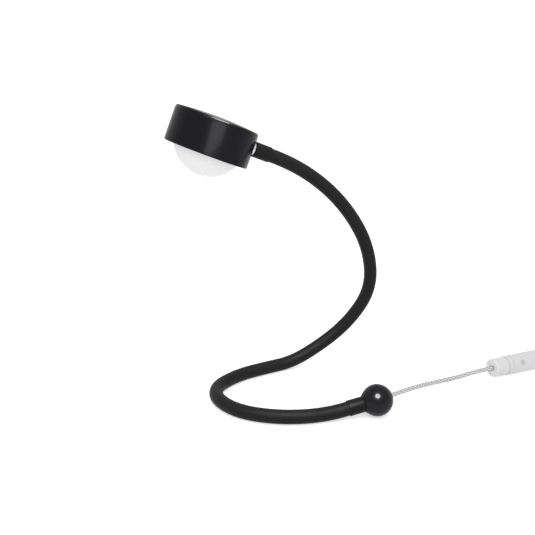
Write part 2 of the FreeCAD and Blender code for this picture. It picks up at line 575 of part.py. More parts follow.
def make_switch():
    """The inline switch: a round housing in four rings, with a push button over a board."""
    origin = Vector(*SWITCH_PLACE, SWITCH_RADIUS)
    x_axis = heading(SWITCH_HEADING)
    z_axis = turned(Z, x_axis, SWITCH_ROLL)
    spigot = SWITCH_RADIUS - SWITCH_WALL - FIT
    nut_start = CAP_LENGTH + SWITCH_SEAM
    barrel_start = nut_start + SWITCH_NUT_LENGTH + SWITCH_SEAM
    barrel_end = barrel_start + BARREL_LENGTH
    outlet_start = barrel_end + SWITCH_SEAM
    outlet_end = outlet_start + CAP_LENGTH
    along = Vector(1, 0, 0)

    def cap(face_at, way, tail_end):
        """A cap with a rounded end, and a tail that carries the rings up to a place along the switch."""
        start, inward = Vector(face_at, 0, 0), along * way
        body = rod(start, inward, CAP_LENGTH, CAP_RADIUS)
        rim = [e for e in body.Edges if abs(e.BoundBox.Center.x - face_at) < 0.01]
        floor = start + inward * CAP_ROUND
        tail = abs(tail_end - floor.x)
        body = body.makeFillet(CAP_ROUND, rim).fuse(rod(floor, inward, tail, spigot))
        body = body.cut(rod(floor, inward, tail, spigot - SWITCH_WALL))
        return body.cut(rod(start, inward, CAP_LENGTH, CORES_RADIUS)).removeSplitter()

    def ring(start, length):
        """A tube with a chamfer at each end."""
        end, edge = start + length, SWITCH_CHAMFER
        inner, outer = SWITCH_RADIUS - SWITCH_WALL, SWITCH_RADIUS
        return lathe([
            (start, inner), (start, outer - edge), (start + edge, outer), (end - edge, outer),
            (end, outer - edge), (end, inner),
        ])

    inlet = cap(0.0, 1, barrel_start + SPIGOT_LENGTH)
    outlet = cap(outlet_end, -1, barrel_end - SPIGOT_LENGTH)
    nut = ring(nut_start, SWITCH_NUT_LENGTH)
    barrel = ring(barrel_start, BARREL_LENGTH)
    groove_at = Vector(barrel_start + BARREL_GROOVE, 0, 0)
    groove = (GROOVE_WIDTH, SWITCH_RADIUS + GROOVE_DEPTH, SWITCH_RADIUS - GROOVE_DEPTH)
    barrel = barrel.cut(tube(groove_at, along, *groove))
    # button: a round key with a flange under the barrel's wall
    button_at = barrel_start + BUTTON_PLACE
    hole = rod(Vector(button_at, 0, 0), Z, SWITCH_RADIUS, BUTTON_RADIUS + SLIDING_FIT)
    barrel = barrel.cut(hole)
    board_top = -SWITCH_BOARD_DEPTH
    flange_radius = BUTTON_RADIUS + BUTTON_FLANGE
    ceiling = math.sqrt((SWITCH_RADIUS - SWITCH_WALL) ** 2 - flange_radius**2)
    flange_top = ceiling - BUTTON_FLOAT
    stem_foot = flange_top - BUTTON_FLANGE
    foot = Vector(button_at, 0, stem_foot)
    button = rod(foot, Z, SWITCH_RADIUS - BUTTON_RECESS - stem_foot, BUTTON_RADIUS)
    button = button.fuse(rod(foot, Z, BUTTON_FLANGE, flange_radius)).removeSplitter()
    contact_top = stem_foot - BUTTON_TRAVEL - BUTTON_FLOAT
    contact_corner = Vector(button_at - CONTACT_SIZE / 2, -CONTACT_SIZE / 2, board_top)
    contact = Part.makeBox(CONTACT_SIZE, CONTACT_SIZE, contact_top - board_top, contact_corner)
    # the board carries the contact, and its long edges lie in the barrel
    board_width = 2 * math.sqrt(spigot**2 - (SWITCH_BOARD_DEPTH + SWITCH_BOARD_THICK) ** 2)
    board_middle = barrel_start + BARREL_LENGTH / 2
    board_start, board_floor = board_middle - SWITCH_BOARD_LENGTH / 2, board_top - SWITCH_BOARD_THICK
    board_corner = Vector(board_start, -board_width / 2, board_floor)
    board = Part.makeBox(SWITCH_BOARD_LENGTH, board_width, SWITCH_BOARD_THICK, board_corner).fuse(contact)
    pieces = {
        "switch_inlet_cap": inlet, "switch_nut": nut, "switch_barrel": barrel,
        "switch_outlet_cap": outlet, "switch_button": button, "switch_board": board,
    }
    for name, solid in pieces.items():
        save(name, placed(solid, origin, x_axis, z_axis))
    return origin, origin + x_axis * outlet_end


def make_coil(centre):
    """The wound cord's outer shape: a ring with rounded edges."""
    outer, inner = COIL_TURN_OUTER + CORD_RADIUS, COIL_TURN_INNER - CORD_RADIUS
    height = 2 * CORD_RADIUS * COIL_LAYERS
    ring = tube(centre, Z, height, outer, inner)
    ring = ring.makeFillet(COIL_ROUND, [e for e in ring.Edges if e.BoundBox.ZLength < 0.01])
    save("supply_coil", ring)
    return height


def rounded_bar(width, height, corner, start, length, edge=0.0, edge_at=None):
    """A bar along X with rounded long edges, and a rounding around one of its ends."""
    bar = Part.makeBox(length, width, height, Vector(start, -width / 2, -height / 2))
    bar = bar.makeFillet(corner, [e for e in bar.Edges if e.BoundBox.XLength > length / 2])
    if edge:
        ends = [e for e in bar.Edges if e.BoundBox.XLength < 0.01 and abs(e.BoundBox.XMin - edge_at) < 0.01]
        bar = bar.makeFillet(edge, ends)
    return bar


def make_plug():
    """The compact driver: strain relief, cover, body, two round pins, and the board inside."""
    origin = Vector(*PLUG_PLACE, PLUG_HEIGHT / 2)
    x_axis = heading(PLUG_HEADING)
    along = Vector(1, 0, 0)
    cover_start = RELIEF_LENGTH
    body_start = cover_start + COVER_LENGTH
    body_end = body_start + PLUG_BODY_LENGTH
    size = (PLUG_WIDTH, PLUG_HEIGHT, PLUG_ROUND)
    hollow_size = (PLUG_WIDTH - 2 * PLUG_WALL, PLUG_HEIGHT - 2 * PLUG_WALL, PLUG_ROUND - PLUG_WALL)
    relief_end = RELIEF_LENGTH + RELIEF_TAIL
    relief = lathe([
        (0, 0), (0, RELIEF_TIP), (RELIEF_LENGTH, RELIEF_ROOT), (relief_end, RELIEF_ROOT), (relief_end, 0),
    ])
    cover = rounded_bar(*size, cover_start, COVER_LENGTH, PLUG_EDGE, cover_start)
    cover = cover.cut(rounded_bar(*hollow_size, cover_start + PLUG_WALL, COVER_LENGTH))
    cover = cover.cut(rod(Vector(0, 0, 0), along, body_start, RELIEF_ROOT + FIT))
    body = rounded_bar(*size, body_start, PLUG_BODY_LENGTH, PLUG_EDGE, body_end)
    body = body.cut(rounded_bar(*hollow_size, body_start, PLUG_BODY_LENGTH - PLUG_FRONT))
    pins = []
    for side in (-1, 1):
        root = Vector(body_end - PIN_TAIL, side * PIN_SPACING / 2, 0)
        body = body.cut(rod(root, along, PIN_TAIL, PIN_SHANK_RADIUS + FIT))
        bare_start = root + along * (PIN_TAIL + PIN_SHANK_LENGTH)
        bare_end = rod(bare_start, along, PIN_LENGTH - PIN_SHANK_LENGTH, PIN_RADIUS)
        tip = [e for e in bare_end.Edges if abs(e.BoundBox.XMin - body_end - PIN_LENGTH) < 0.01]
        shank = rod(root, along, PIN_TAIL + PIN_SHANK_LENGTH, PIN_SHANK_RADIUS)
        pins.append(bare_end.makeFillet(PIN_RADIUS / 2, tip).fuse(shank))
    # the board lies across the housing, its edges against the side walls
    board_length = COVER_LENGTH + PLUG_BODY_LENGTH - PLUG_WALL - PLUG_FRONT - 2 * PLUG_BOARD_MARGIN
    board_start = cover_start + PLUG_WALL + PLUG_BOARD_MARGIN
    board_width = PLUG_WIDTH - 2 * PLUG_WALL - 2 * FIT
    board_floor = -PLUG_BOARD_THICK - PIN_RADIUS - FIT
    board_corner = Vector(board_start, -board_width / 2, board_floor)
    board = Part.makeBox(board_length, board_width, PLUG_BOARD_THICK, board_corner)
    transformer = Part.makeBox(*TRANSFORMER_SIZE)
    transformer.translate(Vector(board_start, 0, board_floor + PLUG_BOARD_THICK))
    transformer.translate(Vector(PLUG_BOARD_MARGIN, -TRANSFORMER_SIZE[1] / 2, 0))
    board = board.fuse(transformer).removeSplitter()
    pieces = {
        "plug_relief": [relief], "plug_cover": [cover.removeSplitter()],
        "plug_body": [body.removeSplitter()], "plug_pins": pins, "plug_board": [board],
    }
    for name, solids in pieces.items():
        save(name, *[placed(solid, origin, x_axis, Z) for solid in solids])
    return origin


os.makedirs("parts", exist_ok=True)
make_neck()
cord_start = make_ball()
make_head()
make_head_ferrule()
switch_in, switch_out = make_switch()
coil_centre = Vector(*COIL_PLACE, 0)
coil_height = make_coil(coil_centre)
plug_in = make_plug()

# The cords: the coil is entered tangentially in its lowest layer and left in its highest
coil_entry = coil_centre + Vector(0, COIL_TURN_OUTER, CORD_RADIUS)
coil_exit = coil_centre + Vector(COIL_TURN_OUTER, 0, coil_height - CORD_RADIUS)
cord_solid("lamp_cord", cord_start, LAMP_CORD_POINTS, switch_in)
cord_solid("supply_cord", switch_out, SUPPLY_POINTS, coil_entry)
cord_solid("plug_cord", coil_exit, PLUG_CORD_POINTS, plug_in)
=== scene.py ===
import json
import math

import bmesh
import bpy
from mathutils import Matrix, Vector

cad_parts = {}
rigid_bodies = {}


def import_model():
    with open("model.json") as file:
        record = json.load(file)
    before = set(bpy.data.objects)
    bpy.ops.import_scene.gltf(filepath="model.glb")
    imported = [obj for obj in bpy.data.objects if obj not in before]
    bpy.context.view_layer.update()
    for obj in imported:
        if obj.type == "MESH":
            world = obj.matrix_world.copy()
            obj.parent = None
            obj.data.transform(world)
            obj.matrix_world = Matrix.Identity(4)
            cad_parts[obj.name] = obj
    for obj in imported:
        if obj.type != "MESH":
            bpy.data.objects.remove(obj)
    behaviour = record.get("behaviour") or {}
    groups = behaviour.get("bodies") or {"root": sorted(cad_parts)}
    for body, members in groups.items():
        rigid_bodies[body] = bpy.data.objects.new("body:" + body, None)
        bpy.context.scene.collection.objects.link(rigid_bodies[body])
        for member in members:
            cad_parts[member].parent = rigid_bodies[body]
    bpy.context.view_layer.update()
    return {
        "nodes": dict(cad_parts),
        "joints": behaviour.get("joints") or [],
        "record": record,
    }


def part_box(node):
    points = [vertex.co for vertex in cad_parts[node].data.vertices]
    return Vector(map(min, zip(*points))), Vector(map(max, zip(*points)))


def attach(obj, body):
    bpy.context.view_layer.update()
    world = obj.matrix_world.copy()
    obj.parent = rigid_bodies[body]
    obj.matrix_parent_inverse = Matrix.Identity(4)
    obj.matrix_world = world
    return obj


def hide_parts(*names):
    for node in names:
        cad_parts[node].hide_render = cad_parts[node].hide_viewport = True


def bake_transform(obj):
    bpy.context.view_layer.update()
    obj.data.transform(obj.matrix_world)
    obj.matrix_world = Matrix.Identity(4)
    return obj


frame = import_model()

# Camera. It stands in front of the lamp, a little above the head's height, and looks down at it through a
# normal lens.
CAMERA_PLACE = (-0.092, -0.574, 0.295)
CAMERA_DOWN = math.radians(16.1)
scene = bpy.context.scene
camera = bpy.data.objects.new("camera", bpy.data.cameras.new("camera"))
scene.collection.objects.link(camera)
camera.location = CAMERA_PLACE
camera.rotation_euler = (math.radians(90) - CAMERA_DOWN, 0, 0)
camera.data.lens = 50.47
camera.data.sensor_width = 36
camera.data.clip_start = 0.01
scene.camera = camera
scene.view_settings.view_transform = "Standard"


# Cords. A two-core lead under a braided textile jacket, 4 mm thick. It leaves the ball's bush, lies on the
# table as far as the inline switch, and goes on from there to the driver. What isn't used of it is wound into
# a round coil beside the driver. The jacket is woven on the lead from yarns that cross in diamonds.
CORD_DIAMETER = 0.004
LAMP_CORD_ROUTE = [
    (0.01171, 0.0082, 0.0135), (0.02605, 0.01824, 0.0135), (0.0385, 0.0322, 0.0103), (0.0525, 0.047, 0.0064),
    (0.066, 0.0592, 0.0035), (0.08, 0.0666, 0.0029), (0.0935, 0.0694, 0.0058), (0.10729, 0.07141, 0.009),
    (0.11853, 0.07641, 0.009),
]
SUPPLY_ROUTE = [
    (0.1886, 0.10761, 0.009), (0.20294, 0.114, 0.009), (0.217, 0.1176, 0.0056), (0.231, 0.1173, 0.0027),
]
PLUG_ROUTE = [(0.2734, 0.08, 0.0141), (0.274, 0.068, 0.013), (0.274, 0.056, 0.013)]
COIL_CENTRE = Vector((0.247, 0.091, 0))
COIL_OUTER, COIL_INNER = 0.026, 0.016
COIL_LAYERS = 4
TURNS_IN_LAYER = (COIL_OUTER - COIL_INNER) / CORD_DIAMETER
FIRST_TURN_AT = math.radians(90)
LAST_TURN = 0.25             # the part of a turn after the last layer, from which the cord goes to the plug
CLIMB_RATE = 3               # a layer climbs to the next one over a turn divided by this
POINTS_IN_TURN = 16


def coil_route():
    """The coil's turns, clockwise: each layer winds inwards or outwards in turn, and lies on the last one."""
    points = []
    for k in range(round((COIL_LAYERS * TURNS_IN_LAYER + LAST_TURN) * POINTS_IN_TURN) + 1):
        turns = k / POINTS_IN_TURN
        layer = min(int(turns / TURNS_IN_LAYER), COIL_LAYERS - 1)
        share = min(turns / TURNS_IN_LAYER - layer, 1)
        inwards = share if layer % 2 == 0 else 1 - share
        radius = COIL_OUTER + (COIL_INNER - COIL_OUTER) * inwards
        climb = max(0, 1 - (1 - share) * TURNS_IN_LAYER * CLIMB_RATE) if layer < COIL_LAYERS - 1 else 0
        height = CORD_DIAMETER * (layer + 0.5 + climb)
        angle = FIRST_TURN_AT - math.tau * turns
        points.append(COIL_CENTRE + Vector((radius * math.cos(angle), radius * math.sin(angle), height)))
    return points


def route_curve(name, points, thickness):
    """A smooth curve with these control points; with a thickness it is a round tube."""
    curve = bpy.data.curves.new(name, "CURVE")
    curve.dimensions = "3D"
    curve.resolution_u = 8
    spline = curve.splines.new("NURBS")
    spline.points.add(len(points) - 1)
    for point, place in zip(spline.points, points):
        point.co = (*place, 1)
    spline.order_u = 3
    spline.use_endpoint_u = True
    curve.bevel_depth = thickness / 2
    curve.bevel_resolution = 4
    curve.use_fill_caps = True
    holder = bpy.data.objects.new(name, curve)
    scene.collection.objects.link(holder)
    mesh = bpy.data.meshes.new_from_object(holder.evaluated_get(bpy.context.evaluated_depsgraph_get()))
    bpy.data.objects.remove(holder)
    bpy.data.curves.remove(curve)
    return mesh


def add_piece(name, mesh, material):
    """An object for a finished mesh, with its material."""
    piece = bpy.data.objects.new(name, mesh)
    mesh.materials.clear()
    mesh.materials.append(material)
    scene.collection.objects.link(piece)
    return piece


def shade(material_name, color, roughness, **sockets):
    """A new material, its principled shader, and its node tree; further sockets are set by name."""
    material = bpy.data.materials.new(material_name)
    material.use_nodes = True
    shader = material.node_tree.nodes["Principled BSDF"]
    shader.inputs["Base Color"].default_value = (*color, 1)
    shader.inputs["Roughness"].default_value = roughness
    for socket, value in sockets.items():
        shader.inputs[socket.replace("_", " ")].default_value = value
    return material, shader, material.node_tree


def length_of(points):
    """The length of a line through these points."""
    return sum((b - a).length for a, b in zip(points, points[1:]))


YARNS_ROUND = 5
YARN_PITCH = 0.012           # the way along the cord in which a yarn goes once round it


def braid_material(name, length):
    """Woven jacket. Two sets of yarns wind round the cord in opposite directions and cross in diamonds. The
    colour has random flecks, and is darker in the grooves between the yarns, which is painted shade.
    """
    material, shader, tree = shade(name, (0.7, 0.7, 0.7), 0.75, Sheen_Weight=0.25, Sheen_Roughness=0.5)
    nodes, links = tree.nodes, tree.links
    uv = nodes.new("ShaderNodeUVMap")
    uv.uv_map = "UVMap"
    split = nodes.new("ShaderNodeSeparateXYZ")
    links.new(uv.outputs["UV"], split.inputs["Vector"])
    def ridge(sign):
        """The height of one set of yarns, which wind one way."""
        around = nodes.new("ShaderNodeMath")
        around.operation = "MULTIPLY"
        around.inputs[1].default_value = YARNS_ROUND * math.pi
        links.new(split.outputs["Y"], around.inputs[0])
        along = nodes.new("ShaderNodeMath")
        along.operation = "MULTIPLY_ADD"
        along.inputs[1].default_value = sign * length / YARN_PITCH * YARNS_ROUND * math.pi / 2
        links.new(split.outputs["X"], along.inputs[0])
        links.new(around.outputs["Value"], along.inputs[2])
        wave = nodes.new("ShaderNodeMath")
        wave.operation = "SINE"
        links.new(along.outputs["Value"], wave.inputs[0])
        height = nodes.new("ShaderNodeMath")
        height.operation = "ABSOLUTE"
        links.new(wave.outputs["Value"], height.inputs[0])
        return height

    weave = nodes.new("ShaderNodeMath")
    weave.operation = "MULTIPLY"
    links.new(ridge(1).outputs["Value"], weave.inputs[0])
    links.new(ridge(-1).outputs["Value"], weave.inputs[1])
    place = nodes.new("ShaderNodeTexCoord")
    flecks = nodes.new("ShaderNodeTexNoise")
    flecks.inputs["Scale"].default_value = 900
    links.new(place.outputs["Object"], flecks.inputs["Vector"])
    # Painted shade: the colour darkens where the weave is low, in the grooves between the yarns. The noise
    # gives random flecks.
    tone = nodes.new("ShaderNodeMath")
    tone.operation = "MULTIPLY"
    links.new(weave.outputs["Value"], tone.inputs[0])
    links.new(flecks.outputs["Fac"], tone.inputs[1])
    groove_shade_and_fleck_colour = nodes.new("ShaderNodeValToRGB")
    groove_shade_and_fleck_colour.color_ramp.elements[0].position = 0.02
    groove_shade_and_fleck_colour.color_ramp.elements[0].color = (0.26, 0.26, 0.27, 1)
    groove_shade_and_fleck_colour.color_ramp.elements[1].position = 0.22
    groove_shade_and_fleck_colour.color_ramp.elements[1].color = (0.8, 0.795, 0.79, 1)
    links.new(tone.outputs["Value"], groove_shade_and_fleck_colour.inputs["Fac"])
    links.new(groove_shade_and_fleck_colour.outputs["Color"], shader.inputs["Base Color"])
    relief = nodes.new("ShaderNodeBump")
    relief.inputs["Strength"].default_value = 0.7
    relief.inputs["Distance"].default_value = 0.0003
    links.new(weave.outputs["Value"], relief.inputs["Height"])
    links.new(relief.outputs["Normal"], shader.inputs["Normal"])
    return material


def braided_cord(name, route, solids):
    """A cord's braided tube and the line that it follows. The weave is spaced evenly along the line."""
    line_mesh = route_curve(name + "_line", route, 0)
    line = [vertex.co.copy() for vertex in line_mesh.vertices]
    bpy.data.meshes.remove(line_mesh)
    tube = route_curve(name, route, CORD_DIAMETER)
    tube.shade_smooth()
    way = [0.0]
    for a, b in zip(line, line[1:]):
        way.append(way[-1] + (b - a).length)
    for corner in tube.uv_layers["UVMap"].data:
        ring = round(corner.uv.x * (len(line) - 1))
        corner.uv.x = way[ring] / way[-1]
    piece = add_piece(name, tube, braid_material(name + "_braid", length_of(line)))
    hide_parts(*solids)
    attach(piece, "base")
    return piece, line


lamp_cord, lamp_line = braided_cord("braided_lamp_cord", LAMP_CORD_ROUTE, ["lamp_cord"])
supply_route = SUPPLY_ROUTE + coil_route() + PLUG_ROUTE
supply_cord, supply_line = braided_cord(
    "braided_supply_cord", supply_route, ["supply_cord", "supply_coil", "plug_cord"]
)
cad = frame["nodes"]

# Studio. A white table that runs on to a white backdrop, soft light from all round, and one large round
# softbox above the camera. Each other light is for one piece or group only, mostly for its gloss. The table
# and the surroundings look white to the eye and in reflections, and the table keeps the lamp's shadow.
SKY_STRENGTH = 0.66
SOFTBOX_PLACE = Vector((-0.05, -0.7, 0.98))
TABLE_GLOW = 0.55            # what the table adds to its own brightness where it is seen
TABLE_HALF = 6
world = bpy.data.worlds.new("studio")
scene.world = world
world.use_nodes = True
sky = world.node_tree.nodes["Background"]
sky.inputs["Color"].default_value = (1, 1, 1, 1)


def seen_directly(tree):
    """Is 1 for what the camera sees, also by way of gloss or of clear material; returns the socket."""
    ray = tree.nodes.new("ShaderNodeLightPath")
    either = tree.nodes.new("ShaderNodeMath")
    either.operation = "MAXIMUM"
    tree.links.new(ray.outputs["Is Camera Ray"], either.inputs[0])
    tree.links.new(ray.outputs["Is Glossy Ray"], either.inputs[1])
    any_of_three = tree.nodes.new("ShaderNodeMath")
    any_of_three.operation = "MAXIMUM"
    tree.links.new(either.outputs["Value"], any_of_three.inputs[0])
    tree.links.new(ray.outputs["Is Transmission Ray"], any_of_three.inputs[1])
    return any_of_three.outputs["Value"]


brightness = world.node_tree.nodes.new("ShaderNodeMapRange")
brightness.inputs["To Min"].default_value = SKY_STRENGTH
brightness.inputs["To Max"].default_value = 1.0
world.node_tree.links.new(seen_directly(world.node_tree), brightness.inputs["Value"])
world.node_tree.links.new(brightness.outputs["Result"], sky.inputs["Strength"])

table_form = bmesh.new()
bmesh.ops.create_grid(table_form, x_segments=1, y_segments=1, size=TABLE_HALF)
table_mesh = bpy.data.meshes.new("table")
table_form.to_mesh(table_mesh)
table_form.free()
table_material = bpy.data.materials.new("white_table")
table_material.use_nodes = True
table_nodes, table_links = table_material.node_tree.nodes, table_material.node_tree.links
table_nodes.clear()
matt = table_nodes.new("ShaderNodeBsdfDiffuse")
matt.inputs["Color"].default_value = (0.92, 0.92, 0.92, 1)
white = table_nodes.new("ShaderNodeMath")
white.operation = "MULTIPLY"
white.inputs[1].default_value = TABLE_GLOW
table_links.new(seen_directly(table_material.node_tree), white.inputs[0])
glow = table_nodes.new("ShaderNodeEmission")
table_links.new(white.outputs["Value"], glow.inputs["Strength"])
both = table_nodes.new("ShaderNodeAddShader")
table_links.new(matt.outputs["BSDF"], both.inputs[0])
table_links.new(glow.outputs["Emission"], both.inputs[1])
table_out = table_nodes.new("ShaderNodeOutputMaterial")
table_links.new(both.outputs["Shader"], table_out.inputs["Surface"])
table = add_piece("table", table_mesh, table_material)


def soft_light(name, shape, place, size, power, shown_in="all"):
    """A soft area light that points at the lamp; some lights are only seen in glossy surfaces."""
    light = bpy.data.lights.new(name, "AREA")
    light.shape = shape
    light.size, light.size_y = size
    light.energy = power
    holder = bpy.data.objects.new(name, light)
    holder.location = place
    holder.rotation_euler = Vector(place).to_track_quat("Z", "Y").to_euler()
    holder.visible_diffuse = shown_in == "all"
    scene.collection.objects.link(holder)
    return holder


def shine_only_on(light, *pieces):
    """Keeps a light off everything but the pieces named."""
    lit = bpy.data.collections.new(light.name + "_lit")
    for piece in pieces:
        lit.objects.link(piece)
    light.light_linking.receiver_collection = lit


soft_light("softbox", "DISK", SOFTBOX_PLACE, size=(0.9, 0.9), power=5)
behind_softbox = SOFTBOX_PLACE * 1.06
ball_sheen = soft_light("ball_sheen", "DISK", behind_softbox, size=(0.72, 0.72), power=52, shown_in="gloss")
neck_sheen = soft_light("neck_sheen", "DISK", (0.0, -0.6, 1.1), size=(0.8, 0.8), power=24, shown_in="gloss")
cap_fill = soft_light("cap_fill", "DISK", (-0.55, -0.36, 0.1), size=(0.4, 0.4), power=1.0)
drum_sheen = soft_light(
    "drum_sheen", "RECTANGLE", (0.26, -1.5, 0.3), size=(1.0, 0.9), power=17, shown_in="gloss"
)
shoulder_sheen = soft_light(
    "shoulder_sheen", "DISK", (0.28, -0.29, 0.965), size=(0.6, 0.6), power=64, shown_in="gloss"
)


# Neck. One soft silicone sleeve over a steel hose that keeps the shape it is bent to, from the ball's end
# sleeve to the head's. Each stretch of the sleeve here reaches from the middle of one link to the middle of
# the next, and bends smoothly over the hinge between them.
def grain_group():
    """Fine surface grain: small pits, a slow change of tone, and duller and glossier places."""
    group = bpy.data.node_groups.new("surface_grain", "ShaderNodeTree")
    sockets = group.interface
    for socket, kind, value in (
        ("Color", "NodeSocketColor", (0.5, 0.5, 0.5, 1)), ("Roughness", "NodeSocketFloat", 0.5),
        ("Grain Scale", "NodeSocketFloat", 2000), ("Depth", "NodeSocketFloat", 0.00002),
        ("Tone Change", "NodeSocketFloat", 0.1), ("Gloss Change", "NodeSocketFloat", 0.1),
    ):
        entry = sockets.new_socket(socket, in_out="INPUT", socket_type=kind)
        entry.default_value = value
    for socket, kind in (
        ("Color", "NodeSocketColor"), ("Roughness", "NodeSocketFloat"), ("Normal", "NodeSocketVector"),
    ):
        sockets.new_socket(socket, in_out="OUTPUT", socket_type=kind)
    nodes, links = group.nodes, group.links
    given, result = nodes.new("NodeGroupInput"), nodes.new("NodeGroupOutput")
    place = nodes.new("ShaderNodeTexCoord")
    pits = nodes.new("ShaderNodeTexNoise")
    pits.inputs["Detail"].default_value = 3
    links.new(place.outputs["Object"], pits.inputs["Vector"])
    links.new(given.outputs["Grain Scale"], pits.inputs["Scale"])
    relief = nodes.new("ShaderNodeBump")
    relief.inputs["Strength"].default_value = 1.0
    links.new(given.outputs["Depth"], relief.inputs["Distance"])
    links.new(pits.outputs["Fac"], relief.inputs["Height"])
    links.new(relief.outputs["Normal"], result.inputs["Normal"])
    slow = nodes.new("ShaderNodeTexNoise")
    slow.inputs["Scale"].default_value = 60
    slow.inputs["Detail"].default_value = 4
    links.new(place.outputs["Object"], slow.inputs["Vector"])

    def around_one(change, source):
        """A factor that wavers about 1 by this much."""
        centred = nodes.new("ShaderNodeMath")
        centred.operation = "SUBTRACT"
        centred.inputs[1].default_value = 0.5
        links.new(source, centred.inputs[0])
        factor = nodes.new("ShaderNodeMath")
        factor.operation = "MULTIPLY_ADD"
        factor.inputs[2].default_value = 1.0
        links.new(centred.outputs["Value"], factor.inputs[0])
        links.new(given.outputs[change], factor.inputs[1])
        return factor.outputs["Value"]

    tone = nodes.new("ShaderNodeVectorMath")
    tone.operation = "SCALE"
    links.new(given.outputs["Color"], tone.inputs[0])
    links.new(around_one("Tone Change", slow.outputs["Fac"]), tone.inputs["Scale"])
    links.new(tone.outputs["Vector"], result.inputs["Color"])
    gloss = nodes.new("ShaderNodeMath")
    gloss.operation = "MULTIPLY"
    links.new(given.outputs["Roughness"], gloss.inputs[0])
    links.new(around_one("Gloss Change", slow.outputs["Fac"]), gloss.inputs[1])
    links.new(gloss.outputs["Value"], result.inputs["Roughness"])
    return group


GRAIN = grain_group()


def grained(name, color, roughness, scale, depth, tone=0.15, gloss=0.15, **sockets):
    """A material with the surface grain at this scale (per metre) and depth (in metres)."""
    material, shader, tree = shade(name, color, roughness, **sockets)
    grain = tree.nodes.new("ShaderNodeGroup")
    grain.node_tree = GRAIN
    grain.inputs["Color"].default_value = (*color, 1)
    for socket, value in (
        ("Roughness", roughness), ("Grain Scale", scale), ("Depth", depth), ("Tone Change", tone),
        ("Gloss Change", gloss),
    ):
        grain.inputs[socket].default_value = value
    tree.links.new(grain.outputs["Color"], shader.inputs["Base Color"])
    tree.links.new(grain.outputs["Roughness"], shader.inputs["Roughness"])
    tree.links.new(grain.outputs["Normal"], shader.inputs["Normal"])
    return material


WELD = 1e-6                  # vertices nearer to each other than this are one


def finish_mesh(name, form):
    """The mesh of a finished form, smooth shaded, with its faces turned outwards."""
    bmesh.ops.remove_doubles(form, verts=form.verts, dist=WELD)
    bmesh.ops.recalc_face_normals(form, faces=form.faces)
    mesh = bpy.data.meshes.new(name)
    form.to_mesh(mesh)
    form.free()
    mesh.shade_smooth()
    return mesh


joints = {joint["name"]: joint for joint in frame["joints"]}
BENDS = sorted(name for name in joints if name.startswith("neck_bend"))
NECK_RADIUS = 0.006
NECK_SIDES = 48
NECK_STEP = 0.001            # between the rings of the sleeve's mesh
NECK_HEADING, NECK_SLOPE = math.radians(194), math.radians(10.403)
NECK_RUN = 0.0285            # from the ball's centre to the first link
NECK_IN_SLEEVE = 0.004       # how far the neck is carried into the end sleeves
BEND_FROM, BEND_TO = 0.58, 0.42  # shares of the links before and after a hinge
ball_low, ball_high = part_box("base_ball")
BALL_RADIUS = (ball_high[2] - ball_low[2]) / 2
ball_centre = Vector((0, 0, BALL_RADIUS))
neck_out = Vector((
    math.cos(NECK_HEADING) * math.cos(NECK_SLOPE), math.sin(NECK_HEADING) * math.cos(NECK_SLOPE),
    -math.sin(NECK_SLOPE),
))
hinge_places = [Vector(joints[name]["pos_m"]) for name in BENDS]
neck_end = Vector(joints["head_swivel"]["pos_m"])
head_in = Vector(joints["head_swivel"]["axis"]).normalized()
neck_places = [ball_centre + neck_out * NECK_RUN] + hinge_places + [neck_end]


class Link:
    """One arc of the neck: it starts at a point in a direction and ends at another point."""

    def __init__(self, start, direction, end):
        chord = end - start
        self.start, self.end = start, end
        self.axis = direction.cross(chord).normalized()
        self.angle = 2 * direction.angle(chord)
        self.radius = chord.length / 2 / math.sin(self.angle / 2)
        self.centre = start + self.axis.cross(direction) * self.radius
        self.length = self.radius * self.angle
        self.end_direction = direction.copy()
        self.end_direction.rotate(Matrix.Rotation(self.angle, 3, self.axis))

    def at(self, share):
        """The point at a share of the arc."""
        spoke = self.start - self.centre
        spoke.rotate(Matrix.Rotation(self.angle * share, 3, self.axis))
        return self.centre + spoke


neck_links = []
direction = neck_out
for start, end in zip(neck_places, neck_places[1:]):
    neck_links.append(Link(start, direction, end))
    direction = neck_links[-1].end_direction


def last_edges(result):
    """The open ring of edges that a spin ends with."""
    return [item for item in result["geom_last"] if isinstance(item, bmesh.types.BMEdge)]


def ring_at(form, centre, axis, radius, sides):
    """A ring of edges round a centre."""
    turn = axis.to_track_quat("Z", "Y").to_matrix().to_4x4()
    place = Matrix.Translation(centre) @ turn
    made = bmesh.ops.create_circle(form, segments=sides, radius=radius, matrix=place)
    return list({edge for vert in made["verts"] for edge in vert.link_edges})


neck_form = bmesh.new()
stretch = neck_form.faces.layers.int.new("stretch")
edges = ring_at(neck_form, neck_places[0] - neck_out * NECK_IN_SLEEVE, neck_out, NECK_RADIUS, NECK_SIDES)
marked_faces = set()


def mark_new_faces(number):
    """Numbers the faces made since the last call. A set tells them: a new face copies another's number."""
    for face in neck_form.faces:
        if face not in marked_faces:
            marked_faces.add(face)
            face[stretch] = number


def run_on(edges, way):
    """The sleeve goes straight on for this way."""
    made = bmesh.ops.extrude_edge_only(neck_form, edges=edges)["geom"]
    verts = [item for item in made if isinstance(item, bmesh.types.BMVert)]
    bmesh.ops.translate(neck_form, vec=way, verts=verts)
    return [item for item in made if isinstance(item, bmesh.types.BMEdge) and len(item.link_faces) == 1]


edges = run_on(edges, neck_out * NECK_IN_SLEEVE)
for number, link in enumerate(neck_links):
    steps = math.ceil(link.length / 2 / NECK_STEP)
    for half in (0, 1):
        spun = bmesh.ops.spin(
            neck_form, geom=edges, cent=link.centre, axis=link.axis, angle=link.angle / 2, steps=steps,
            use_merge=False,
        )
        edges = last_edges(spun)
        mark_new_faces(min(max(number - 1 + half, 0), len(BENDS) - 1))
edges = run_on(edges, head_in * NECK_IN_SLEEVE)
mark_new_faces(len(BENDS) - 1)
bmesh.ops.recalc_face_normals(neck_form, faces=neck_form.faces)

